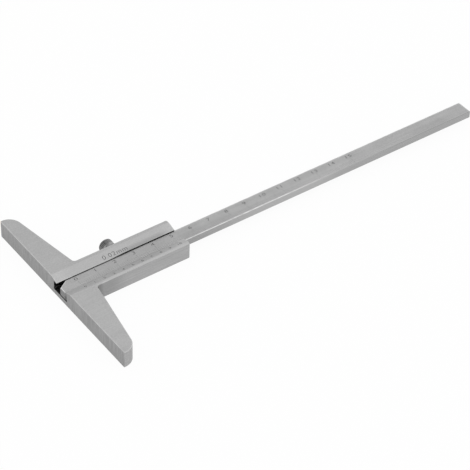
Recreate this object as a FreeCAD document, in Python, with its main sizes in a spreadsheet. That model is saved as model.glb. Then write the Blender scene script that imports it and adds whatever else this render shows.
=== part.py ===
import FreeCAD, Part
import math
import os
import re
import Sketcher

# Depth gauge of 150 mm reach, 0.02 mm reading, in millimetres.
# X runs along the beam from the measuring face, Y along the base, Z up from the underside.

SIZES = {
    # Base and slider frame, one piece of ground steel
    "base_length": 100.0,
    "base_thickness": 8.75,
    "root_depth": 12.9,
    "tip_depth": 6.1,
    "tip_land": 0.07,
    "face_corner_round": 0.5,
    "frame_reach": 61.7,
    "frame_width": 18.7,
    "notch_round": 1.5,
    "rear_corner_round": 0.8,
    "edge_chamfer": 0.25,
    "foot_chamfer": 0.3,
    # Beam channel, its two lips and their bevels
    "channel_width": 10.0,
    "channel_floor": 3.0,
    "guide_clearance": 0.05,
    "lip_clearance": 0.2,
    "lip_land": 0.25,
    "vernier_lip_overlap": 0.9,
    "gib_lip_overlap": 0.6,
    "vernier_strip_width": 1.25,
    "gib_strip_width": 1.85,
    "corner_groove_radius": 0.45,
    "mouth_relief_depth": 0.65,
    "mouth_relief_length": 2.0,
    "lip_relief_depth": 0.2,
    "lip_relief_start": 28.0,
    "lip_relief_run": 16.0,
    # Beam
    "beam_length": 229.1,
    "beam_width": 8.3,
    "beam_thickness": 3.8,
    "beam_offset": 0.71,
    "beam_edge_chamfer": 0.2,
    "nose_bevel_width": 3.55,
    "nose_bevel_length": 5.5,
    # Leaf spring between the beam and the channel's free wall
    "spring_length": 48.0,
    "spring_thickness": 0.4,
    "spring_side_gap": 0.2,
    # Lock screw and its pad
    "lock_station": 32.2,
    "thread_radius": 1.5,
    "thread_clearance": 0.05,
    "head_radius": 3.35,
    "head_length": 4.4,
    "head_standoff": 0.65,
    "head_chamfer": 0.4,
    "pad_length": 1.6,
    "pad_clearance": 0.1,
    "pad_gap": 0.15,
    # Gib screws
    "gib_spread_share": 0.6667,
    "gib_screw_radius": 1.0,
    "gib_screw_gap": 0.1,
    "gib_screw_recess": 0.5,
    "driver_slot_width": 0.5,
    "driver_slot_depth": 0.8,
    # Cuts run this far past the solid
    "overrun": 5.0,
}

# Places and radii that follow from the sizes, worked out in the sheet
DERIVED = {
    "half_base": "base_length / 2",
    "half_frame": "frame_width / 2",
    # The arm's far edge leans, so its end round is the largest that leaves the face corner whole
    "arm_run": "half_base - half_frame",
    "arm_fall": "root_depth - tip_depth",
    "arm_edge": "sqrt(arm_run ^ 2 + arm_fall ^ 2)",
    "tip_opening": "sqrt((arm_edge + arm_fall) / (arm_edge - arm_fall))",
    "tip_round": "(tip_depth - face_corner_round - tip_land) * tip_opening",
    # Beam and channel
    "beam_left": "beam_width / 2 - beam_offset",
    "beam_right": "0 - beam_width / 2 - beam_offset",
    "beam_bottom": "channel_floor + guide_clearance",
    "lip_underside": "beam_bottom + beam_thickness + lip_clearance",
    "land_top": "lip_underside + lip_land",
    "fixed_wall": "beam_right - guide_clearance",
    "free_wall": "fixed_wall + channel_width",
    "vernier_edge": "beam_right + vernier_lip_overlap",
    "gib_lip_edge": "beam_left - gib_lip_overlap",
    "relieved_edge": "gib_lip_edge + lip_relief_depth",
    "vernier_bevel_top": "vernier_strip_width - half_frame",
    "gib_bevel_top": "half_frame - gib_strip_width",
    "axis_height": "(channel_floor + lip_underside) / 2",
    # The leaf bows from the beam at its middle to the wall at its ends
    "spring_face": "beam_left + guide_clearance",
    "spring_back": "spring_face + spring_thickness",
    "spring_bow": "free_wall - guide_clearance - spring_back",
    "spring_radius": "((spring_length / 2) ^ 2 + spring_bow ^ 2) / (2 * spring_bow)",
    # The lock screw's stack along its axis
    "pad_face": "spring_back + pad_gap",
    "screw_tip": "pad_face + pad_length",
    "head_inner": "half_frame + head_standoff",
    "head_outer": "head_inner + head_length",
    "bore_radius": "thread_radius + thread_clearance",
    "pad_radius": "bore_radius - pad_clearance",
    # Where the gib screws bear on the leaf, at a share of its length apart
    "gib_screw_spread": "spring_length * gib_spread_share",
    "gib_reach": "gib_screw_spread / 2 + gib_screw_radius",
    "leaf_rise": "spring_radius - sqrt(spring_radius ^ 2 - gib_reach ^ 2)",
    "gib_screw_tip": "spring_back + leaf_rise + gib_screw_gap",
    "gib_screw_outer": "half_frame - gib_screw_recess",
    "driver_slot_floor": "gib_screw_outer - driver_slot_depth",
}

doc = FreeCAD.newDocument("depth_gauge")
sheet = doc.addObject("Spreadsheet::Sheet", "Sizes")
row = 0
for alias, value in SIZES.items():
    row += 1
    sheet.set(f"A{row}", alias)
    sheet.set(f"B{row}", str(value))
    sheet.setAlias(f"B{row}", alias)
for alias, value in DERIVED.items():
    row += 1
    sheet.set(f"A{row}", alias)
    sheet.set(f"B{row}", f"={value}")
    sheet.setAlias(f"B{row}", alias)
doc.recompute()


def formula(text):
    """The expression text with every size name pointing at its cell."""
    return re.sub(r"[a-z][a-z_]+", lambda word: f"Sizes.{word[0]}", text)


def value_of(text):
    """The formula's present value, for a sketch's starting geometry."""
    return float(sheet.evalExpression(formula(text)))


def new_body(label):
    body = doc.addObject("PartDesign::Body", label)
    body.Label = label
    return body


def origin_plane(body, role):
    return next(item for item in body.Origin.OriginFeatures if item.Role == role)


def new_sketch(body, name, role, lift=None):
    """A sketch on one of the body's own origin planes, lifted along its normal if asked."""
    sketch = body.newObject("Sketcher::SketchObject", name)
    sketch.AttachmentSupport = (origin_plane(body, role), "")
    sketch.MapMode = "FlatFace"
    if lift:
        sketch.setExpression("AttachmentOffset.Base.z", formula(lift))
    return sketch


def tie(sketch, kind, geometry, point, text):
    """Holds one coordinate of a sketch point at the formula's value."""
    index = sketch.addConstraint(Sketcher.Constraint(kind, -1, 1, geometry, point, value_of(text)))
    sketch.setExpression(f"Constraints[{index}]", formula(text))


def add_polygon(sketch, corners):
    """A closed run of lines through corners given as pairs of formulas."""
    points = [FreeCAD.Vector(value_of(x), value_of(y), 0) for x, y in corners]
    following = points[1:] + points[:1]
    lines = [sketch.addGeometry(Part.LineSegment(a, b), False) for a, b in zip(points, following)]
    for line, after in zip(lines, lines[1:] + lines[:1]):
        sketch.addConstraint(Sketcher.Constraint("Coincident", line, 2, after, 1))
    for line, (x, y) in zip(lines, corners):
        tie(sketch, "DistanceX", line, 1, x)
        tie(sketch, "DistanceY", line, 1, y)
    return lines


def add_circle(sketch, x, y, radius):
    centre = FreeCAD.Vector(value_of(x), value_of(y), 0)
    normal = FreeCAD.Vector(0, 0, 1)
    circle = sketch.addGeometry(Part.Circle(centre, normal, value_of(radius)), False)
    tie(sketch, "DistanceX", circle, 3, x)
    tie(sketch, "DistanceY", circle, 3, y)
    index = sketch.addConstraint(Sketcher.Constraint("Radius", circle, value_of(radius)))
    sketch.setExpression(f"Constraints[{index}]", formula(radius))


def pad(body, sketch, length):
    feature = body.newObject("PartDesign::Pad", f"{sketch.Name}_pad")
    feature.Profile = sketch
    feature.setExpression("Length", formula(length))
    doc.recompute()
    return feature


def pocket(body, sketch, length=None, forward=False):
    """Cuts the sketch away, forward along its normal or back, to a depth or right through."""
    before = body.Shape.Volume
    feature = body.newObject("PartDesign::Pocket", f"{sketch.Name}_cut")
    feature.Profile = sketch
    feature.Reversed = forward
    if length is None:
        feature.Type = "ThroughAll"
    else:
        feature.setExpression("Length", formula(length))
    doc.recompute()
    if not body.Shape.Volume < before:
        raise RuntimeError(f"{feature.Name} removes nothing")
    return feature


def revolve(body, sketch):
    feature = body.newObject("PartDesign::Revolution", f"{sketch.Name}_turned")
    feature.Profile = sketch
    feature.ReferenceAxis = (sketch, ["V_Axis"])
    feature.Angle = 360
    doc.recompute()
    return feature


def edges_where(body, test):
    """Names of the edges of the body's last feature that pass the test."""
    shape = body.Tip.Shape
    return [f"Edge{i}" for i, edge in enumerate(shape.Edges, start=1) if test(edge)]


def fillet(body, name, edges, radius):
    base = body.Tip
    feature = body.newObject("PartDesign::Fillet", name)
    feature.Base = (base, edges)
    feature.setExpression("Radius", formula(radius))
    doc.recompute()
    return feature


def chamfer(body, name, edges, size):
    base = body.Tip
    feature = body.newObject("PartDesign::Chamfer", name)
    feature.Base = (base, edges)
    feature.setExpression("Size", formula(size))
    doc.recompute()
    return feature


def near(a, b):
    return math.isclose(a, b, abs_tol=1e-6)


def at_height(edge, height):
    return all(near(vertex.Z, height) for vertex in edge.Vertexes)


def stands_at(edge, x, y):
    """True for an upright edge through that place in plan."""
    return len(edge.Vertexes) == 2 and all(
        near(vertex.X, x) and near(vertex.Y, y) for vertex in edge.Vertexes
    )


def make_base_frame():
    """The base with its tapered arms and the slider frame behind it, one piece of steel."""
    body = new_body("base_frame")
    plan = new_sketch(body, "plan", "XY_Plane")
    add_polygon(plan, [
        ("0", "0 - half_base"),
        ("tip_depth", "0 - half_base"),
        ("root_depth", "0 - half_frame"),
        ("frame_reach", "0 - half_frame"),
        ("frame_reach", "half_frame"),
        ("root_depth", "half_frame"),
        ("tip_depth", "half_base"),
        ("0", "half_base"),
    ])
    pad(body, plan, "base_thickness")

    half_base = value_of("half_base")
    half_frame = value_of("half_frame")
    tip = value_of("tip_depth")
    root = value_of("root_depth")
    reach = value_of("frame_reach")
    top = value_of("base_thickness")
    fillet(body, "tip_rounds", edges_where(
        body, lambda e: any(stands_at(e, tip, side * half_base) for side in (-1, 1))
    ), "tip_round")
    fillet(body, "notch_rounds", edges_where(
        body, lambda e: any(stands_at(e, root, side * half_frame) for side in (-1, 1))
    ), "notch_round")
    fillet(body, "rear_rounds", edges_where(
        body, lambda e: any(stands_at(e, reach, side * half_frame) for side in (-1, 1))
    ), "rear_corner_round")
    chamfer(body, "foot_edges", edges_where(
        body, lambda e: at_height(e, 0) and any(v.X > tip / 2 for v in e.Vertexes)
    ), "foot_chamfer")
    fillet(body, "face_corner_rounds", edges_where(
        body, lambda e: any(stands_at(e, 0, side * half_base) for side in (-1, 1))
    ), "face_corner_round")
    chamfer(body, "top_edges", edges_where(body, lambda e: at_height(e, top)), "edge_chamfer")

    channel = new_sketch(body, "channel", "YZ_Plane")
    above = "base_thickness + overrun"
    add_polygon(channel, [
        ("fixed_wall", "channel_floor"),
        ("free_wall", "channel_floor"),
        ("free_wall", "lip_underside"),
        ("gib_lip_edge", "lip_underside"),
        ("gib_lip_edge", "land_top"),
        ("gib_bevel_top", "base_thickness"),
        ("gib_bevel_top", above),
        ("vernier_bevel_top", above),
        ("vernier_bevel_top", "base_thickness"),
        ("vernier_edge", "land_top"),
        ("vernier_edge", "lip_underside"),
        ("fixed_wall", "lip_underside"),
    ])
    pocket(body, channel, forward=True)

    grooves = new_sketch(body, "corner_grooves", "YZ_Plane")
    for wall in ("fixed_wall", "free_wall"):
        add_circle(grooves, wall, "channel_floor", "corner_groove_radius")
    pocket(body, grooves, forward=True)

    mouth = new_sketch(body, "mouth_relief", "YZ_Plane")
    add_polygon(mouth, [
        ("fixed_wall", "channel_floor - mouth_relief_depth"),
        ("free_wall", "channel_floor - mouth_relief_depth"),
        ("free_wall", "axis_height"),
        ("fixed_wall", "axis_height"),
    ])
    pocket(body, mouth, "mouth_relief_length", forward=True)

    relief = new_sketch(body, "lip_relief", "XY_Plane", lift="axis_height")
    add_polygon(relief, [
        ("lip_relief_start", "0"),
        ("lip_relief_start", "gib_lip_edge"),
        ("lip_relief_start + lip_relief_run", "relieved_edge"),
        ("frame_reach + overrun", "relieved_edge"),
        ("frame_reach + overrun", "0"),
    ])
    pocket(body, relief, forward=True)

    bores = new_sketch(body, "screw_bores", "XZ_Plane")
    add_circle(bores, "lock_station", "axis_height", "bore_radius")
    for side in ("-", "+"):
        station = f"lock_station {side} gib_screw_spread / 2"
        add_circle(bores, station, "axis_height", "gib_screw_radius + thread_clearance")
    pocket(body, bores)
    return body


def make_beam():
    """The graduated beam, with one corner of its nose bevelled off."""
    body = new_body("beam")
    plan = new_sketch(body, "beam_plan", "XY_Plane")
    add_polygon(plan, [
        ("0", "beam_right"),
        ("beam_length", "beam_right"),
        ("beam_length", "beam_left"),
        ("nose_bevel_length", "beam_left"),
        ("0", "beam_left - nose_bevel_width"),
    ])
    pad(body, plan, "beam_thickness")
    chamfer(body, "beam_edges", edges_where(
        body, lambda e: (at_height(e, 0) or at_height(e, value_of("beam_thickness")))
        and any(v.X > 0 for v in e.Vertexes)
    ), "beam_edge_chamfer")
    body.setExpression("Placement.Base.z", formula("beam_bottom"))
    return body


def make_gib_spring():
    """The bowed leaf that holds the beam against the channel's fixed wall."""
    body = new_body("gib_spring")
    leaf = new_sketch(body, "leaf", "XY_Plane")
    wall_radius = value_of("spring_radius")
    beam_radius = wall_radius + value_of("spring_thickness")
    half = value_of("spring_length / 2")
    centre = FreeCAD.Vector(0, beam_radius, 0)
    normal = FreeCAD.Vector(0, 0, 1)
    arcs = []
    for radius in (wall_radius, beam_radius):
        swing = math.asin(half / radius)
        start = 3 * math.pi / 2 - swing
        finish = 3 * math.pi / 2 + swing
        circle = Part.Circle(centre, normal, radius)
        arcs.append(leaf.addGeometry(Part.ArcOfCircle(circle, start, finish), False))
    wall_arc, beam_arc = arcs
    ends = []
    for point in (1, 2):
        a = leaf.getPoint(wall_arc, point)
        b = leaf.getPoint(beam_arc, point)
        line = leaf.addGeometry(Part.LineSegment(a, b), False)
        leaf.addConstraint(Sketcher.Constraint("Coincident", line, 1, wall_arc, point))
        leaf.addConstraint(Sketcher.Constraint("Coincident", line, 2, beam_arc, point))
        leaf.addConstraint(Sketcher.Constraint("Vertical", line))
        ends.append(line)
    leaf.addConstraint(Sketcher.Constraint("Coincident", wall_arc, 3, beam_arc, 3))
    leaf.addConstraint(Sketcher.Constraint("PointOnObject", wall_arc, 3, -2))
    tie(leaf, "DistanceY", wall_arc, 3, "spring_radius + spring_thickness")
    tie(leaf, "DistanceX", ends[0], 1, "0 - spring_length / 2")
    tie(leaf, "DistanceX", ends[1], 1, "spring_length / 2")
    for arc, text in ((wall_arc, "spring_radius"), (beam_arc, "spring_radius + spring_thickness")):
        index = leaf.addConstraint(Sketcher.Constraint("Radius", arc, value_of(text)))
        leaf.setExpression(f"Constraints[{index}]", formula(text))
    pad(body, leaf, "lip_underside - channel_floor - 2 * spring_side_gap")
    body.setExpression("Placement.Base.x", formula("lock_station"))
    body.setExpression("Placement.Base.y", formula("spring_face"))
    body.setExpression("Placement.Base.z", formula("channel_floor + spring_side_gap"))
    return body


def on_lock_axis(body, station="lock_station"):
    body.setExpression("Placement.Base.x", formula(station))
    body.setExpression("Placement.Base.z", formula("axis_height"))


def make_lock_screw():
    """The knurled screw in the side of the frame that clamps the beam."""
    body = new_body("lock_screw")
    profile = new_sketch(body, "lock_profile", "XY_Plane")
    add_polygon(profile, [
        ("0", "screw_tip"),
        ("thread_radius", "screw_tip"),
        ("thread_radius", "head_inner"),
        ("head_radius - head_chamfer", "head_inner"),
        ("head_radius", "head_inner + head_chamfer"),
        ("head_radius", "head_outer - head_chamfer"),
        ("head_radius - head_chamfer", "head_outer"),
        ("0", "head_outer"),
    ])
    revolve(body, profile)
    on_lock_axis(body)
    return body


def make_lock_pad():
    """The soft brass pad that the lock screw pushes against the leaf spring."""
    body = new_body("lock_pad")
    profile = new_sketch(body, "pad_profile", "XY_Plane")
    add_polygon(profile, [
        ("0", "pad_face"),
        ("pad_radius", "pad_face"),
        ("pad_radius", "screw_tip"),
        ("0", "screw_tip"),
    ])
    revolve(body, profile)
    on_lock_axis(body)
    return body


def make_gib_screw(label, side):
    """One of the two slotted screws that set how hard the leaf spring presses."""
    body = new_body(label)
    profile = new_sketch(body, f"{label}_profile", "XY_Plane")
    add_polygon(profile, [
        ("0", "gib_screw_tip"),
        ("gib_screw_radius", "gib_screw_tip"),
        ("gib_screw_radius", "gib_screw_outer"),
        ("0", "gib_screw_outer"),
    ])
    revolve(body, profile)
    slot = new_sketch(body, f"{label}_slot", "XY_Plane")
    half_slot = "driver_slot_width / 2"
    add_polygon(slot, [
        (f"0 - {half_slot}", "driver_slot_floor"),
        (half_slot, "driver_slot_floor"),
        (half_slot, "gib_screw_outer + overrun"),
        (f"0 - {half_slot}", "gib_screw_outer + overrun"),
    ])
    cut = pocket(body, slot)
    cut.Midplane = True
    on_lock_axis(body, f"lock_station {side} gib_screw_spread / 2")
    return body


nodes = [
    make_base_frame(),
    make_beam(),
    make_gib_spring(),
    make_lock_screw(),
    make_lock_pad(),
    make_gib_screw("gib_screw_front", "-"),
    make_gib_screw("gib_screw_rear", "+"),
]
doc.recompute()

for item in doc.Objects:
    if "Invalid" in item.State or "Error" in item.State:
        raise RuntimeError(f"{item.Name} did not build: {item.State}")
for node in nodes:
    if node.Shape.isNull() or not node.Shape.isValid() or len(node.Shape.Solids) != 1:
        raise RuntimeError(f"{node.Label} is not one valid solid")

os.makedirs("parts", exist_ok=True)
for node in nodes:
    node.Shape.exportStep(f"parts/{node.Label}.step")
    box = node.Shape.BoundBox
    print(
        f"{node.Label}: {node.Shape.Volume:.1f} mm3, "
        f"X {box.XMin:.2f} to {box.XMax:.2f}, Y {box.YMin:.2f} to {box.YMax:.2f}, "
        f"Z {box.ZMin:.2f} to {box.ZMax:.2f}"
    )
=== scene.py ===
import math

import bmesh
import bpy
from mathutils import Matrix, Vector


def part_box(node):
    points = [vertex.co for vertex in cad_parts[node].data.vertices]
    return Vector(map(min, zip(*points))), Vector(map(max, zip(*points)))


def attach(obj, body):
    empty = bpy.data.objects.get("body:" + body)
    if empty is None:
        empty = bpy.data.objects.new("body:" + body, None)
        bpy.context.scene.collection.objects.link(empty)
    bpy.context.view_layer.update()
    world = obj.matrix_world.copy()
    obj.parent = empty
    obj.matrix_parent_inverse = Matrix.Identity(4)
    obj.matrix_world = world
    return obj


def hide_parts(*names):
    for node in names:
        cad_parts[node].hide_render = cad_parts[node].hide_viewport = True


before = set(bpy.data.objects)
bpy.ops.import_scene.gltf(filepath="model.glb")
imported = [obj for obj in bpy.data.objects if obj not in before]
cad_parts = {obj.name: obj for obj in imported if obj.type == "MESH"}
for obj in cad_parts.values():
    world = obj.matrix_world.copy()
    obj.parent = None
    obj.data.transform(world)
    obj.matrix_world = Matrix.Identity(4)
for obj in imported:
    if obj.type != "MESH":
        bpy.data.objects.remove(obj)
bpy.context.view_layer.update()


# Graduated beam
# A ground stainless bar that slides in the frame. Grinding leaves fine lines along it, and
# handling polishes its edges, whose lighter grey on the upper ones is partly a painted
# highlight. Its marks and numerals are engraved and filled with black.

def new_group(name, inputs, outputs):
    """A node group with its named sockets, and its input and output nodes."""
    group = bpy.data.node_groups.new(name, "ShaderNodeTree")
    for label, kind in inputs:
        group.interface.new_socket(label, in_out="INPUT", socket_type=kind)
    for label, kind in outputs:
        group.interface.new_socket(label, in_out="OUTPUT", socket_type=kind)
    given = group.nodes.new("NodeGroupInput")
    result = group.nodes.new("NodeGroupOutput")
    return group, given, result


def add_math(tree, operation, first, second):
    """A Math node whose two inputs are sockets or plain numbers. Gives its output socket."""
    node = tree.nodes.new("ShaderNodeMath")
    node.operation = operation
    for socket, value in zip(node.inputs, (first, second)):
        if isinstance(value, (int, float)):
            socket.default_value = value
        else:
            tree.links.new(value, socket)
    return node.outputs[0]


def add_noise(tree, vector, scale, detail):
    """A noise that swings about zero."""
    noise = tree.nodes.new("ShaderNodeTexNoise")
    noise.inputs["Scale"].default_value = scale
    noise.inputs["Detail"].default_value = detail
    tree.links.new(vector, noise.inputs["Vector"])
    return add_math(tree, "SUBTRACT", noise.outputs["Fac"], 0.5)


def add_ramp(tree, value, start, end, low=0.0, high=1.0):
    """A smooth step of the value, low before start and high after end."""
    step = tree.nodes.new("ShaderNodeMapRange")
    step.interpolation_type = "SMOOTHSTEP"
    step.inputs["From Min"].default_value = start
    step.inputs["From Max"].default_value = end
    step.inputs["To Min"].default_value = low
    step.inputs["To Max"].default_value = high
    tree.links.new(value, step.inputs["Value"])
    return step.outputs["Result"]


def add_mix(tree, kind, factor, first, second):
    """A Mix node of floats, colours or vectors. Gives its output socket."""
    node = tree.nodes.new("ShaderNodeMix")
    node.data_type = kind
    slots = [slot for slot in node.inputs if slot.enabled]
    for socket, value in zip(slots, (factor, first, second)):
        if isinstance(value, (int, float, tuple)):
            socket.default_value = value
        else:
            tree.links.new(value, socket)
    return next(slot for slot in node.outputs if slot.enabled)


def make_ground_steel_group():
    """Ground steel: fine parallel lines, a cloudy sheen and a sparse speckle."""
    group, given, result = new_group("ground_steel", (
        ("Steel colour", "NodeSocketColor"),
        ("Line scale", "NodeSocketVector"),
        ("Line strength", "NodeSocketFloat"),
        ("Cloud strength", "NodeSocketFloat"),
        ("Speckle strength", "NodeSocketFloat"),
        ("Roughness", "NodeSocketFloat"),
    ), (
        ("Steel colour", "NodeSocketColor"),
        ("Roughness", "NodeSocketFloat"),
        ("Line height", "NodeSocketFloat"),
    ))
    link = group.links.new
    place = group.nodes.new("ShaderNodeTexCoord").outputs["Object"]
    stretched = group.nodes.new("ShaderNodeVectorMath")
    stretched.operation = "MULTIPLY"
    link(place, stretched.inputs[0])
    link(given.outputs["Line scale"], stretched.inputs[1])
    lines = add_noise(group, stretched.outputs[0], scale=1.0, detail=4.0)
    cloud = add_noise(group, place, scale=110.0, detail=5.0)
    speckle = add_noise(group, place, scale=1500.0, detail=3.0)

    line_tone = add_math(group, "MULTIPLY", lines, given.outputs["Line strength"])
    cloud_tone = add_math(group, "MULTIPLY", cloud, given.outputs["Cloud strength"])
    speckle_tone = add_math(group, "MULTIPLY", speckle, given.outputs["Speckle strength"])
    tone = add_math(group, "ADD", add_math(group, "ADD", line_tone, cloud_tone), speckle_tone)
    shade = group.nodes.new("ShaderNodeVectorMath")
    shade.operation = "SCALE"
    link(given.outputs["Steel colour"], shade.inputs[0])
    link(add_math(group, "ADD", tone, 1.0), shade.inputs["Scale"])
    link(shade.outputs[0], result.inputs["Steel colour"])

    cloud_roughness = 0.16
    line_roughness = 0.12
    rough = add_math(group, "MULTIPLY", cloud, cloud_roughness)
    rough = add_math(group, "ADD", given.outputs["Roughness"], rough)
    rough = add_math(group, "ADD", rough, add_math(group, "MULTIPLY", lines, line_roughness))
    link(rough, result.inputs["Roughness"])
    link(lines, result.inputs["Line height"])
    return group


def make_worn_edges_group():
    """Handling polishes the upper edges and the 45 degree chamfers on them, unevenly; their lighter
    grey is partly a painted highlight.
    """
    group, given, result = new_group("worn_and_highlit_edges", (
        ("Colour", "NodeSocketColor"),
        ("Worn and highlit colour", "NodeSocketColor"),
        ("Roughness", "NodeSocketFloat"),
        ("Worn roughness", "NodeSocketFloat"),
        ("Edge reach", "NodeSocketFloat"),
    ), (
        ("Colour", "NodeSocketColor"),
        ("Roughness", "NodeSocketFloat"),
    ))
    link = group.links.new
    place = group.nodes.new("ShaderNodeTexCoord")
    axes = group.nodes.new("ShaderNodeSeparateXYZ")
    link(place.outputs["Normal"], axes.inputs[0])
    leaning_up = add_ramp(group, axes.outputs["Z"], start=0.5, end=0.62)
    chamfer = add_ramp(group, axes.outputs["Z"], start=0.8, end=0.9, low=1.0, high=0.0)

    rounded = group.nodes.new("ShaderNodeBevel")
    rounded.samples = 8
    link(given.outputs["Edge reach"], rounded.inputs["Radius"])
    flat = group.nodes.new("ShaderNodeNewGeometry")
    agreement = group.nodes.new("ShaderNodeVectorMath")
    agreement.operation = "DOT_PRODUCT"
    link(rounded.outputs["Normal"], agreement.inputs[0])
    link(flat.outputs["Normal"], agreement.inputs[1])
    edge = add_ramp(group, agreement.outputs["Value"], start=0.88, end=0.995, low=1.0, high=0.0)

    patches = add_noise(group, place.outputs["Object"], scale=260.0, detail=3.0)
    patchy = add_ramp(group, patches, start=-0.2, end=0.1, low=0.45, high=1.0)
    wear_and_highlight = add_math(group, "MULTIPLY", leaning_up, add_math(group, "MAXIMUM", chamfer, edge))
    wear_and_highlight = add_math(group, "MULTIPLY", wear_and_highlight, patchy)
    colour = add_mix(group, "RGBA", wear_and_highlight, given.outputs["Colour"], given.outputs["Worn and highlit colour"])
    rough = add_mix(group, "FLOAT", wear_and_highlight, given.outputs["Roughness"], given.outputs["Worn roughness"])
    link(colour, result.inputs["Colour"])
    link(rough, result.inputs["Roughness"])
    return group


ground_steel = make_ground_steel_group()
worn_and_highlit_edges = make_worn_edges_group()

WORN_ROUGHNESS = 0.24
RELIEF_STRENGTH = 0.35
RELIEF_HEIGHT = 0.000004


def make_steel(
    name, colour, line_scale, roughness,
    lines=0.25, clouds=0.16, speckle=0.12, wear_and_highlight=0.62, reach=0.0005,
):
    """A metallic material whose lines run along the axis with the smallest line scale.

    The edge grey argument is the grey of its polished upper edges, partly a painted highlight, and
    reach is how far they spread."""
    material = bpy.data.materials.new(name)
    material.use_nodes = True
    tree = material.node_tree
    link = tree.links.new
    shader = tree.nodes["Principled BSDF"]
    shader.inputs["Metallic"].default_value = 1.0
    finish = tree.nodes.new("ShaderNodeGroup")
    finish.name = "finish"
    finish.node_tree = ground_steel
    finish.inputs["Steel colour"].default_value = (*colour, 1.0)
    finish.inputs["Line scale"].default_value = line_scale
    finish.inputs["Line strength"].default_value = lines
    finish.inputs["Cloud strength"].default_value = clouds
    finish.inputs["Speckle strength"].default_value = speckle
    finish.inputs["Roughness"].default_value = roughness
    edges = tree.nodes.new("ShaderNodeGroup")
    edges.node_tree = worn_and_highlit_edges
    edges.inputs["Worn and highlit colour"].default_value = (wear_and_highlight, wear_and_highlight, wear_and_highlight, 1.0)
    edges.inputs["Worn roughness"].default_value = WORN_ROUGHNESS
    edges.inputs["Edge reach"].default_value = reach
    link(finish.outputs["Steel colour"], edges.inputs["Colour"])
    link(finish.outputs["Roughness"], edges.inputs["Roughness"])
    relief = tree.nodes.new("ShaderNodeBump")
    relief.inputs["Strength"].default_value = RELIEF_STRENGTH
    relief.inputs["Distance"].default_value = RELIEF_HEIGHT
    link(finish.outputs["Line height"], relief.inputs["Height"])
    link(edges.outputs["Colour"], shader.inputs["Base Color"])
    link(edges.outputs["Roughness"], shader.inputs["Roughness"])
    link(relief.outputs["Normal"], shader.inputs["Normal"])
    return material


SHARP = 0.00001


def stain(
    material, along, across, up, grey, strength=1.0,
    fade_along=SHARP, fade_across=SHARP, fade_up=SHARP,
):
    """Mixes a grey into the material inside a box along X, across Y and up Z, for painted shade,
    painted highlights and other tones.

    Past the box's sides it fades out over the given lengths."""
    tree = material.node_tree
    shader = tree.nodes["Principled BSDF"]
    place = tree.nodes.new("ShaderNodeTexCoord")
    axes = tree.nodes.new("ShaderNodeSeparateXYZ")
    tree.links.new(place.outputs["Object"], axes.inputs[0])
    amount = strength
    fades = (fade_along, fade_across, fade_up)
    for axis, (low, high), fade in zip(axes.outputs, (along, across, up), fades):
        amount = add_math(tree, "MULTIPLY", add_ramp(tree, axis, low - fade, low), amount)
        amount = add_math(tree, "MULTIPLY", amount, add_ramp(tree, axis, high, high + fade, 1.0, 0.0))
    clean = shader.inputs["Base Color"].links[0].from_socket
    tinted = add_mix(tree, "RGBA", amount, clean, (grey, grey, grey, 1.0))
    tree.links.new(tinted, shader.inputs["Base Color"])


def give_material(piece, material):
    piece.data.materials.clear()
    piece.data.materials.append(material)


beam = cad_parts["beam"]
beam_low, beam_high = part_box("beam")
beam_rear = beam_high[0]
beam_right = beam_low[1]
beam_left = beam_high[1]
beam_top = beam_high[2]
beam_nose = (beam_low[0] - SHARP, beam_low[0] + SHARP)
beam_right_side = (beam_right - SHARP, beam_right + SHARP)
beam_height = (beam_low[2], beam_top)
EDGE_BAND_DEPTH = 0.00025
beam_steel = make_steel(
    "ground_beam_steel", colour=(0.38, 0.38, 0.38), line_scale=(35.0, 4200.0, 4200.0),
    roughness=0.36, lines=0.45, clouds=0.24, speckle=0.3, wear_and_highlight=0.8, reach=0.0013,
)

# The right side carries a painted reflection: lightest halfway along, and a little lighter towards
# the rear.
stain(
    beam_steel, along=(0.100, 0.134), across=beam_right_side, up=beam_height,
    grey=0.47, fade_along=0.034,
)
stain(
    beam_steel, along=(0.165, beam_rear), across=beam_right_side, up=beam_height,
    grey=0.41, fade_along=0.030,
)

# The painted highlight on the right upper edge fades out towards the rear, where a thin painted dark
# reflection runs along it.
stain(
    beam_steel, along=(0.155, beam_rear), across=(beam_right + SHARP, beam_right + 0.0007),
    up=(beam_top - EDGE_BAND_DEPTH, beam_top), grey=0.39, strength=0.95, fade_along=0.045,
)
stain(
    beam_steel, along=(0.185, beam_rear), across=(beam_right + SHARP, beam_right + 0.0003),
    up=(beam_top - EDGE_BAND_DEPTH, beam_top - 0.00002), grey=0.25, strength=0.6,
    fade_along=0.025,
)


def smudge(start, end, left, fade, grey, strength):
    """A soft patch of another grey on the beam's top, from its right edge as far as left."""
    stain(
        beam_steel, along=(start, end), across=(beam_right, left),
        up=(beam_top - SHARP, beam_top), grey=grey, strength=strength,
        fade_along=fade, fade_across=0.0015,
    )


BESIDE_NUMERALS = -0.0015
# Painted shade on the beam's top where the frame covers it.
smudge(start=0.024, end=0.046, left=beam_left, fade=0.018, grey=0.30, strength=0.22)
# Further along, the top is a little darker in two places and lighter in one.
smudge(start=0.066, end=0.082, left=BESIDE_NUMERALS, fade=0.010, grey=0.31, strength=0.25)
smudge(start=0.128, end=0.152, left=BESIDE_NUMERALS, fade=0.012, grey=0.50, strength=0.30)
smudge(start=0.202, end=0.210, left=BESIDE_NUMERALS, fade=0.012, grey=0.28, strength=0.30)

# The nose's end face is painted darker as shade inside the channel's mouth, and painted shadow
# darkens its lower right corner.
stain(
    beam_steel, along=beam_nose, across=(beam_right, beam_left), up=beam_height,
    grey=0.19, strength=0.8,
)
stain(
    beam_steel, along=beam_nose, across=(beam_right, beam_right + 0.0007),
    up=(beam_low[2], 0.0048), grey=0.06, strength=0.8, fade_across=0.0009, fade_up=0.0012,
)
give_material(beam, beam_steel)

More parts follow.
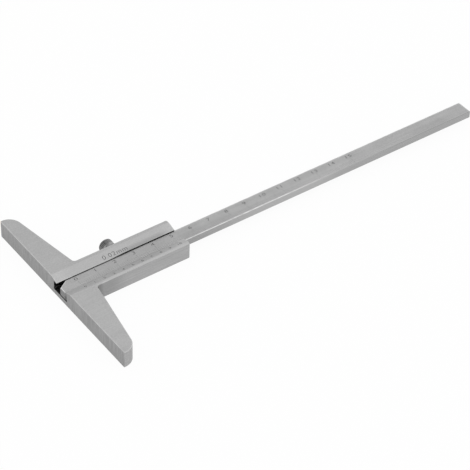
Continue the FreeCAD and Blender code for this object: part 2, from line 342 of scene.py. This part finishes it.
black_fill = bpy.data.materials.new("black_engraving_fill")
black_fill.use_nodes = True
fill_tree = black_fill.node_tree
fill_shader = fill_tree.nodes["Principled BSDF"]
fill_shader.inputs["Roughness"].default_value = 0.55
fill_place = fill_tree.nodes.new("ShaderNodeTexCoord")
fill_noise = add_noise(fill_tree, fill_place.outputs["Object"], scale=2200.0, detail=2.0)
fill_wear = add_ramp(fill_tree, fill_noise, start=-0.12, end=0.2)
fresh_fill = (0.035, 0.035, 0.035, 1.0)
rubbed_fill = (0.13, 0.13, 0.13, 1.0)
fill_tree.links.new(
    add_mix(fill_tree, "RGBA", fill_wear, fresh_fill, rubbed_fill), fill_shader.inputs["Base Color"],
)

FILL_PROUD = 0.000008
FILL_DEPTH = 0.00003
MARK_WIDTH = 0.00005
CAPITAL_SHARE = 0.69


def join_pieces(pieces, name):
    """One named object from several meshes, its place applied to the mesh."""
    bpy.ops.object.select_all(action="DESELECT")
    for piece in pieces:
        piece.select_set(True)
    bpy.context.view_layer.objects.active = pieces[0]
    bpy.ops.object.join()
    joined = bpy.context.view_layer.objects.active
    joined.name = name
    bpy.ops.object.transform_apply(location=True, rotation=True, scale=True)
    return joined


def engrave_marks(name, count, start, pitch, edge, lengths, tilt=0.0):
    """A row of filled grooves along X. Each starts at the edge, a point (Y, Z) on the surface.

    lengths holds the plain, fifth and tenth mark's lengths across the scale."""
    rows = []
    middle_rise = (FILL_PROUD - FILL_DEPTH) / 2
    for step, length in zip((1, 5, 10), lengths):
        bpy.ops.object.select_all(action="DESELECT")
        bpy.ops.mesh.primitive_cube_add(size=1.0)
        bar = bpy.context.object
        bar.scale = (MARK_WIDTH, length, FILL_PROUD + FILL_DEPTH)
        bar.rotation_euler = (tilt, 0.0, 0.0)
        bar.location = (
            start,
            edge[0] + length / 2 * math.cos(tilt) - middle_rise * math.sin(tilt),
            edge[1] + length / 2 * math.sin(tilt) + middle_rise * math.cos(tilt),
        )
        bpy.ops.object.transform_apply(location=True, rotation=True, scale=True)
        repeat = bar.modifiers.new("along_scale", "ARRAY")
        repeat.use_relative_offset = False
        repeat.use_constant_offset = True
        repeat.constant_offset_displace = (step * pitch, 0.0, 0.0)
        repeat.count = (count - 1) // step + 1
        bpy.ops.object.modifier_apply(modifier=repeat.name)
        rows.append(bar)
    marks = join_pieces(rows, name)
    give_material(marks, black_fill)
    return marks


def engrave_text(text, place, height, tilt=0.0, spacing=1.0, widen=1.2, thinner=0.00002):
    """Filled lettering that reads along X, centred on a point of the surface."""
    bpy.ops.object.text_add()
    letters = bpy.context.object
    letters.data.body = text
    letters.data.align_x = "CENTER"
    letters.data.align_y = "CENTER"
    letters.data.size = height / CAPITAL_SHARE
    letters.data.space_character = spacing
    letters.data.offset = -thinner
    letters.data.extrude = (FILL_PROUD + FILL_DEPTH) / 2
    letters.data.resolution_u = 4
    bpy.ops.object.convert(target="MESH")
    letters = bpy.context.object
    letters.scale = (widen, 1.0, 1.0)
    letters.rotation_euler = (tilt, 0.0, 0.0)
    middle_rise = (FILL_PROUD - FILL_DEPTH) / 2
    letters.location = (
        place[0],
        place[1] - middle_rise * math.sin(tilt),
        place[2] + middle_rise * math.cos(tilt),
    )
    return letters


BEAM_MARKS_COUNT = 151
BEAM_MARKS_START = 0.0087
BEAM_MARKS_PITCH = 0.001
BEAM_MARKS_EDGE = -0.0045
beam_marks = engrave_marks(
    "beam_graduations", BEAM_MARKS_COUNT, BEAM_MARKS_START, BEAM_MARKS_PITCH,
    edge=(BEAM_MARKS_EDGE, beam_top), lengths=(0.0028, 0.0034, 0.0040),
)
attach(beam_marks, "beam_body")

BEAM_NUMERALS_COUNT = 16
BEAM_NUMERALS_START = 0.00857
BEAM_NUMERALS_PITCH = 0.010
BEAM_NUMERALS_SIDE = 0.0009
beam_numerals = join_pieces(
    [
        engrave_text(
            str(k), (BEAM_NUMERALS_START + BEAM_NUMERALS_PITCH * k, BEAM_NUMERALS_SIDE, beam_top),
            height=0.0018, spacing=1.12, widen=1.48,
        )
        for k in range(BEAM_NUMERALS_COUNT)
    ],
    "beam_numerals",
)
give_material(beam_numerals, black_fill)
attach(beam_numerals, "beam_body")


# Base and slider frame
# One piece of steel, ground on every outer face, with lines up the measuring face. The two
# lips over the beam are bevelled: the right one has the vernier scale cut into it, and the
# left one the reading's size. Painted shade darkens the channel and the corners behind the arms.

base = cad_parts["base_frame"]
frame_low, frame_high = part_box("base_frame")
frame_width = (frame_low[1], frame_high[1])
frame_rear = frame_high[0]
frame_top = frame_high[2]
measuring_face = (frame_low[0] - SHARP, frame_low[0] + SHARP)
LINES_ALONG = (60.0, 2200.0, 2200.0)
LINES_UPWARD = (1300.0, 1300.0, 90.0)
frame_steel = make_steel(
    "ground_frame_steel", colour=(0.4, 0.4, 0.4), line_scale=LINES_ALONG,
    roughness=0.42, clouds=0.2, speckle=0.35, wear_and_highlight=0.62,
)
frame_tree = frame_steel.node_tree
frame_place = frame_tree.nodes.new("ShaderNodeTexCoord")
frame_axes = frame_tree.nodes.new("ShaderNodeSeparateXYZ")
frame_tree.links.new(frame_place.outputs["Normal"], frame_axes.inputs[0])
facing_along = add_math(frame_tree, "ABSOLUTE", frame_axes.outputs["X"], 0.0)
faces_along = add_ramp(frame_tree, facing_along, start=0.65, end=0.8)
faces_up = add_ramp(frame_tree, frame_axes.outputs["Z"], start=0.85, end=0.92)
facing_aside = add_math(frame_tree, "ABSOLUTE", frame_axes.outputs["Y"], 0.0)
faces_aside = add_ramp(frame_tree, facing_aside, start=0.9, end=0.97)

# The lines run up the measuring face and along all other faces, faintest on the top.
frame_finish = frame_tree.nodes["finish"]
frame_tree.links.new(
    add_mix(frame_tree, "VECTOR", faces_along, LINES_ALONG, LINES_UPWARD),
    frame_finish.inputs["Line scale"],
)
SIDE_LINES = 0.55
FRONT_LINES = 1.3
TOP_LINES = 0.22
side_lines = add_mix(frame_tree, "FLOAT", faces_along, SIDE_LINES, FRONT_LINES)
frame_tree.links.new(
    add_mix(frame_tree, "FLOAT", faces_up, side_lines, TOP_LINES),
    frame_finish.inputs["Line strength"],
)
# The faces turned sideways get a lighter grey, as painted light.
frame_grey = (0.4, 0.4, 0.4, 1.0)
lit_side_grey = (0.44, 0.44, 0.44, 1.0)
frame_tree.links.new(
    add_mix(frame_tree, "RGBA", faces_aside, frame_grey, lit_side_grey),
    frame_finish.inputs["Steel colour"],
)
give_material(base, frame_steel)

# The measuring face is painted darker than the rest as shade, and the painted highlight on its upper
# chamfer is toned down.
stain(
    frame_steel, along=measuring_face, across=frame_width, up=(frame_low[2], frame_top),
    grey=0.24, strength=0.45,
)
stain(
    frame_steel, along=(0.0, 0.0003), across=frame_width, up=(0.0083, frame_top),
    grey=0.42, strength=0.45, fade_up=0.0001,
)

# The flat strip beside the vernier's bevel is lighter from its middle rearwards.
stain(
    frame_steel, along=(0.024, 0.060), across=(-0.0092, -0.0079), up=(0.0085, frame_top),
    grey=0.46, strength=0.8, fade_along=0.012, fade_across=0.0003,
)

# The left lip's bevel is a little darker between its ends, and the vernier's is lighter
# towards the rear.
LAND_TOP = 0.0073
BEVEL_TOP = 0.00875
VERNIER_BEVEL_SIDE = -0.0081
LIP_BEVEL_SIDE = 0.0075
VERNIER_EDGE = -0.00396
LIP_EDGE = 0.00284
stain(
    frame_steel, along=(0.010, 0.054), across=(LIP_EDGE, LIP_BEVEL_SIDE),
    up=(LAND_TOP, BEVEL_TOP), grey=0.34, strength=0.45, fade_along=0.008, fade_across=0.0002,
)
stain(
    frame_steel, along=(0.054, frame_rear), across=(VERNIER_BEVEL_SIDE, VERNIER_EDGE),
    up=(LAND_TOP, BEVEL_TOP), grey=0.5, strength=0.3, fade_along=0.012, fade_across=0.0001,
)

# Painted shade blackens the channel, and from its middle rearwards the left lip's edge too,
# with a thin band of painted shade up the bevel.
CHANNEL_SIDE = 0.0056
LIP_UNDERSIDE = 0.00706
LIP_INSIDE = 0.0027
stain(
    frame_steel, along=(frame_low[0] + 0.0001, frame_rear - 0.0001),
    across=(-CHANNEL_SIDE, CHANNEL_SIDE), up=(0.0023, LIP_UNDERSIDE), grey=0.03,
)
stain(
    frame_steel, along=(0.036, frame_rear), across=(LIP_INSIDE, 0.00305),
    up=(LIP_UNDERSIDE, 0.00737), grey=0.03, fade_along=0.010,
)
stain(
    frame_steel, along=(0.039, 0.052), across=(LIP_INSIDE, 0.0032), up=(LIP_UNDERSIDE, 0.0080),
    grey=0.1, strength=0.32, fade_along=0.009, fade_across=0.0030,
)

# Just inside the channel's mouth the painted shade is lighter, and the floor there keeps nearly
# its clean steel grey. A thin strip of painted shade runs down the measuring face on the mouth's
# right.
stain(
    frame_steel, along=(0.0001, 0.0050), across=(-0.0054, CHANNEL_SIDE), up=(0.0022, 0.0070),
    grey=0.1,
)
stain(
    frame_steel, along=(0.0003, 0.0019), across=(-0.0049, -0.0013), up=(0.0022, 0.00302),
    grey=0.4, strength=0.7, fade_across=0.0006,
)
stain(
    frame_steel, along=(-SHARP, SHARP), across=(-0.0053, -0.0049), up=(0.0026, 0.0064),
    grey=0.1, strength=0.55, fade_across=0.0001, fade_up=0.0006,
)

# Painted shade darkens the two inner corners behind the arms: a dark core and a wide faint edge.
CORNER_START = 0.0126
for side in (-1, 1):
    corner = sorted((side * 0.0092, side * 0.0110))
    stain(
        frame_steel, along=(CORNER_START, 0.0142), across=corner, up=(0.0, 0.0087),
        grey=0.06, strength=0.35, fade_along=0.0025, fade_across=0.001,
    )
    stain(
        frame_steel, along=(CORNER_START, 0.0185), across=corner, up=(0.0, 0.0083),
        grey=0.2, strength=0.32, fade_along=0.013, fade_across=0.001,
    )

vernier_tilt = -math.atan2(BEVEL_TOP - LAND_TOP, VERNIER_EDGE - VERNIER_BEVEL_SIDE)
lip_tilt = math.atan2(BEVEL_TOP - LAND_TOP, LIP_BEVEL_SIDE - LIP_EDGE)


def on_vernier(y):
    """Height of the vernier's bevel at that Y."""
    return LAND_TOP + (VERNIER_EDGE - y) * math.tan(-vernier_tilt)


def on_lip(y):
    """Height of the left lip's bevel at that Y."""
    return LAND_TOP + (y - LIP_EDGE) * math.tan(lip_tilt)


VERNIER_MARKS_COUNT = 51
VERNIER_MARKS_START = 0.0089
VERNIER_MARKS_PITCH = 0.00098
VERNIER_MARKS_LENGTH = 0.0010
VERNIER_REACH = -0.0050
vernier_marks = engrave_marks(
    "vernier_graduations", VERNIER_MARKS_COUNT, VERNIER_MARKS_START, VERNIER_MARKS_PITCH,
    edge=(VERNIER_REACH, on_vernier(VERNIER_REACH)), lengths=(VERNIER_MARKS_LENGTH,) * 3,
    tilt=vernier_tilt,
)
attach(vernier_marks, "frame_body")

VERNIER_NUMERALS_COUNT = 11
VERNIER_NUMERALS_START = 0.00875
VERNIER_NUMERALS_PITCH = 0.0049
VERNIER_NUMERALS_SIDE = -0.00658
vernier_numerals_height = on_vernier(VERNIER_NUMERALS_SIDE)
vernier_numerals = join_pieces(
    [
        engrave_text(
            str(k),
            (
                VERNIER_NUMERALS_START + VERNIER_NUMERALS_PITCH * k,
                VERNIER_NUMERALS_SIDE,
                vernier_numerals_height,
            ),
            height=0.0014, tilt=vernier_tilt, thinner=-0.00001,
        )
        for k in range(VERNIER_NUMERALS_COUNT)
    ],
    "vernier_numerals",
)
give_material(vernier_numerals, black_fill)
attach(vernier_numerals, "frame_body")

READING_MIDDLE = 0.0311
READING_SIDE = 0.0046
reading_size = join_pieces(
    [engrave_text(
        "0.02mm", (READING_MIDDLE, READING_SIDE, on_lip(READING_SIDE)),
        height=0.0021, tilt=lip_tilt, spacing=1.12, thinner=0.00003,
    )],
    "reading_size",
)
give_material(reading_size, black_fill)
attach(reading_size, "frame_body")


# Lock screw
# A turned steel screw with a straight knurl on its head. Its thread shows between the head
# and the frame's side.

screw_low, screw_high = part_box("lock_screw")
screw_x = (screw_low[0] + screw_high[0]) / 2
screw_z = (screw_low[2] + screw_high[2]) / 2
head_radius = (screw_high[0] - screw_low[0]) / 2
HEAD_LENGTH = 0.0044
COLLAR_LENGTH = 0.0009
CHAMFER = 0.0004
KNURL_TEETH = 32
KNURL_VALLEY = 0.93
KNURL_RUNOUT = 0.0002
DISH_RIM = 0.0005
DISH_DEPTH = 0.0003
DISH_TAPER = 0.93
head_outer = screw_high[1]
head_inner = head_outer - HEAD_LENGTH
knurl_start = head_inner + CHAMFER + COLLAR_LENGTH
knurl_end = head_outer - CHAMFER


def on_screw_axis(y):
    return (screw_x, y, screw_z)


def extrude_along_screw(rise, end, swell=1.0):
    """Carries the selected end along the screw's axis to end, and swells it about the axis."""
    bpy.ops.mesh.extrude_region_move(TRANSFORM_OT_translate={"value": (0.0, rise, 0.0)})
    if swell != 1.0:
        bpy.ops.transform.resize(value=(swell, 1.0, swell), center_override=on_screw_axis(end))


bpy.ops.object.select_all(action="DESELECT")
end_radius = head_radius - CHAMFER
bpy.ops.mesh.primitive_circle_add(
    vertices=KNURL_TEETH * 2, radius=end_radius, fill_type="NGON",
    location=on_screw_axis(head_inner), rotation=(math.pi / 2, 0.0, 0.0),
)
head = bpy.context.object
bpy.ops.object.transform_apply(location=True, rotation=True, scale=True)
bpy.ops.object.mode_set(mode="EDIT")
bpy.ops.mesh.select_all(action="SELECT")
extrude_along_screw(CHAMFER, head_inner + CHAMFER, head_radius / end_radius)
extrude_along_screw(COLLAR_LENGTH, knurl_start)
extrude_along_screw(KNURL_RUNOUT, knurl_start + KNURL_RUNOUT)
extrude_along_screw(knurl_end - knurl_start - 2 * KNURL_RUNOUT, knurl_end - KNURL_RUNOUT)
extrude_along_screw(KNURL_RUNOUT, knurl_end)
extrude_along_screw(CHAMFER, head_outer, end_radius / head_radius)
bpy.ops.mesh.inset(thickness=DISH_RIM)
extrude_along_screw(-DISH_DEPTH, head_outer - DISH_DEPTH, DISH_TAPER)

# Every second line of vertices round the knurl is pressed in, which leaves pointed teeth.
mesh = bmesh.from_edit_mesh(head.data)
bpy.ops.mesh.select_all(action="DESELECT")
for vertex in mesh.verts:
    around = math.atan2(vertex.co.z - screw_z, vertex.co.x - screw_x) / (math.pi / KNURL_TEETH)
    in_knurl = knurl_start < vertex.co.y - KNURL_RUNOUT / 2 < knurl_end - KNURL_RUNOUT
    vertex.select_set(in_knurl and round(around) % 2 == 1)
mesh.select_flush(False)
bmesh.update_edit_mesh(head.data)
bpy.ops.transform.resize(
    value=(KNURL_VALLEY, 1.0, KNURL_VALLEY), center_override=on_screw_axis(head_inner),
)
bpy.ops.mesh.select_all(action="SELECT")
bpy.ops.mesh.normals_make_consistent(inside=False)
bpy.ops.object.mode_set(mode="OBJECT")

THREAD_PITCH = 0.0005
THREAD_RADIUS = 0.0015
THREAD_CORE = 0.86
shank_length = head_inner - screw_low[1]
bpy.ops.mesh.primitive_circle_add(
    vertices=32, radius=THREAD_RADIUS * THREAD_CORE, fill_type="NGON",
    location=on_screw_axis(screw_low[1]), rotation=(math.pi / 2, 0.0, 0.0),
)
shank = bpy.context.object
bpy.ops.object.transform_apply(location=True, rotation=True, scale=True)
bpy.ops.object.mode_set(mode="EDIT")
bpy.ops.mesh.select_all(action="SELECT")
rings = round(shank_length / (THREAD_PITCH / 2))
rise = shank_length / rings
for ring in range(rings):
    swell = 1 / THREAD_CORE if ring % 2 == 0 else THREAD_CORE
    extrude_along_screw(rise, screw_low[1] + rise * (ring + 1), swell)
bpy.ops.mesh.select_all(action="SELECT")
bpy.ops.mesh.normals_make_consistent(inside=False)
bpy.ops.object.mode_set(mode="OBJECT")

knurled_screw = join_pieces([head, shank], "knurled_lock_screw")
screw_steel = make_steel(
    "dark_screw_steel", colour=(0.17, 0.17, 0.17), line_scale=(900.0, 60.0, 900.0),
    roughness=0.34, clouds=0.5, wear_and_highlight=0.3,
)

# The head is painted lighter on its rear upper side, as a painted highlight.
stain(
    screw_steel, along=(screw_x + 0.0006, screw_high[0]), across=(head_inner, head_outer),
    up=(screw_z, screw_high[2]), grey=0.36, strength=0.85, fade_along=0.0014, fade_up=0.001,
)

# The knurl's valleys, which lie nearer to the screw's axis, are painted dark.
screw_tree = screw_steel.node_tree
screw_place = screw_tree.nodes.new("ShaderNodeTexCoord")
from_axis = screw_tree.nodes.new("ShaderNodeMapping")
from_axis.inputs["Location"].default_value = (-screw_x, 0.0, -screw_z)
from_axis.inputs["Scale"].default_value = (1.0, 0.0, 1.0)
screw_tree.links.new(screw_place.outputs["Object"], from_axis.inputs["Vector"])
radius = screw_tree.nodes.new("ShaderNodeVectorMath")
radius.operation = "LENGTH"
screw_tree.links.new(from_axis.outputs["Vector"], radius.inputs[0])
valleys = add_ramp(
    screw_tree, radius.outputs["Value"], start=head_radius * KNURL_VALLEY, end=head_radius,
    low=1.0, high=0.0,
)
stain(
    screw_steel, along=(screw_low[0], screw_high[0]), across=(knurl_start, knurl_end),
    up=(screw_low[2], screw_high[2]), grey=0.1, strength=valleys,
)
give_material(knurled_screw, screw_steel)
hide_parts("lock_screw")
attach(knurled_screw, "screw_body")


# Leaf spring, pad and gib screws
# The leaf is rolled phosphor bronze, the pad turned brass, and the gib screws are dark steel
# with a driver slot. Only the ends of the leaf and of the screws show.

give_material(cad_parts["gib_spring"], make_steel(
    "rolled_bronze", colour=(0.42, 0.29, 0.16), line_scale=(40.0, 3000.0, 3000.0),
    roughness=0.4, wear_and_highlight=0.5,
))
give_material(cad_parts["lock_pad"], make_steel(
    "turned_brass", colour=(0.6, 0.46, 0.2), line_scale=(2500.0, 60.0, 2500.0), roughness=0.35,
))
gib_steel = make_steel(
    "dark_gib_screw_steel", colour=(0.16, 0.16, 0.165), line_scale=(2500.0, 60.0, 2500.0),
    roughness=0.38, wear_and_highlight=0.3,
)
give_material(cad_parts["gib_screw_front"], gib_steel)
give_material(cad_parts["gib_screw_rear"], gib_steel)


# Floor and backdrop
# A white sheet. The camera and reflections see it white, and it keeps the gauge's shadow.

SHEET_SIZE = 6.0
SHEET_MIDDLE = (0.1, 0.0, 0.0)
bpy.ops.object.select_all(action="DESELECT")
bpy.ops.mesh.primitive_plane_add(size=SHEET_SIZE, location=SHEET_MIDDLE)
floor = bpy.context.object
floor.name = "floor"
floor_material = bpy.data.materials.new("white_sheet")
floor_material.use_nodes = True
floor_tree = floor_material.node_tree
sheet = floor_tree.nodes["Principled BSDF"]
sheet.inputs["Base Color"].default_value = (0.8, 0.8, 0.8, 1.0)
sheet.inputs["Roughness"].default_value = 0.9
glow = floor_tree.nodes.new("ShaderNodeEmission")
glow.inputs["Color"].default_value = (1.0, 1.0, 1.0, 1.0)
rays = floor_tree.nodes.new("ShaderNodeLightPath")
CAMERA_WHITE = 0.95
REFLECTED_WHITE = 0.7
reflected = add_math(
    floor_tree, "MAXIMUM", rays.outputs["Is Glossy Ray"], rays.outputs["Is Transmission Ray"],
)
whiteness = add_math(
    floor_tree, "MAXIMUM",
    add_math(floor_tree, "MULTIPLY", rays.outputs["Is Camera Ray"], CAMERA_WHITE),
    add_math(floor_tree, "MULTIPLY", reflected, REFLECTED_WHITE),
)
blend = floor_tree.nodes.new("ShaderNodeMixShader")
floor_tree.links.new(whiteness, blend.inputs["Fac"])
floor_tree.links.new(sheet.outputs["BSDF"], blend.inputs[1])
floor_tree.links.new(glow.outputs["Emission"], blend.inputs[2])
floor_tree.links.new(blend.outputs["Shader"], floor_tree.nodes["Material Output"].inputs["Surface"])
give_material(floor, floor_material)


# Light
# One wide soft light above and behind, and a pale world.

softbox_place = Vector((0.55, 0.0, 1.3))
softbox_aim = Vector((0.08, 0.0, 0.0))
bpy.ops.object.light_add(type="AREA", location=softbox_place)
softbox = bpy.context.object
softbox.name = "overhead_softbox"
softbox.data.size = 1.6
softbox.data.energy = 2.8
softbox.rotation_euler = (softbox_aim - softbox_place).to_track_quat("-Z", "Y").to_euler()

world = bpy.data.worlds.new("pale_room")
bpy.context.scene.world = world
world.use_nodes = True
world.node_tree.nodes["Background"].inputs["Color"].default_value = (1.0, 1.0, 1.0, 1.0)
world.node_tree.nodes["Background"].inputs["Strength"].default_value = 1.0


# Camera
# It stands where the photograph's camera stood, found from the scale's numerals and the
# straight edges.

CAMERA_DISTANCE = 0.8783
CAMERA_ROLL = math.radians(2.227)
aim = Vector((0.08712, -0.008146, 0.0))
towards_camera = Vector((-0.4549, -0.5954, 0.6622))
bpy.ops.object.camera_add(location=aim + towards_camera * CAMERA_DISTANCE)
camera = bpy.context.object
camera.rotation_euler = (-towards_camera).to_track_quat("-Z", "Y").to_euler()
camera.rotation_euler.rotate_axis("Z", CAMERA_ROLL)
camera.data.lens = 149.62
camera.data.sensor_width = 36.0
bpy.context.scene.camera = camera
bpy.context.scene.view_settings.view_transform = "Standard"
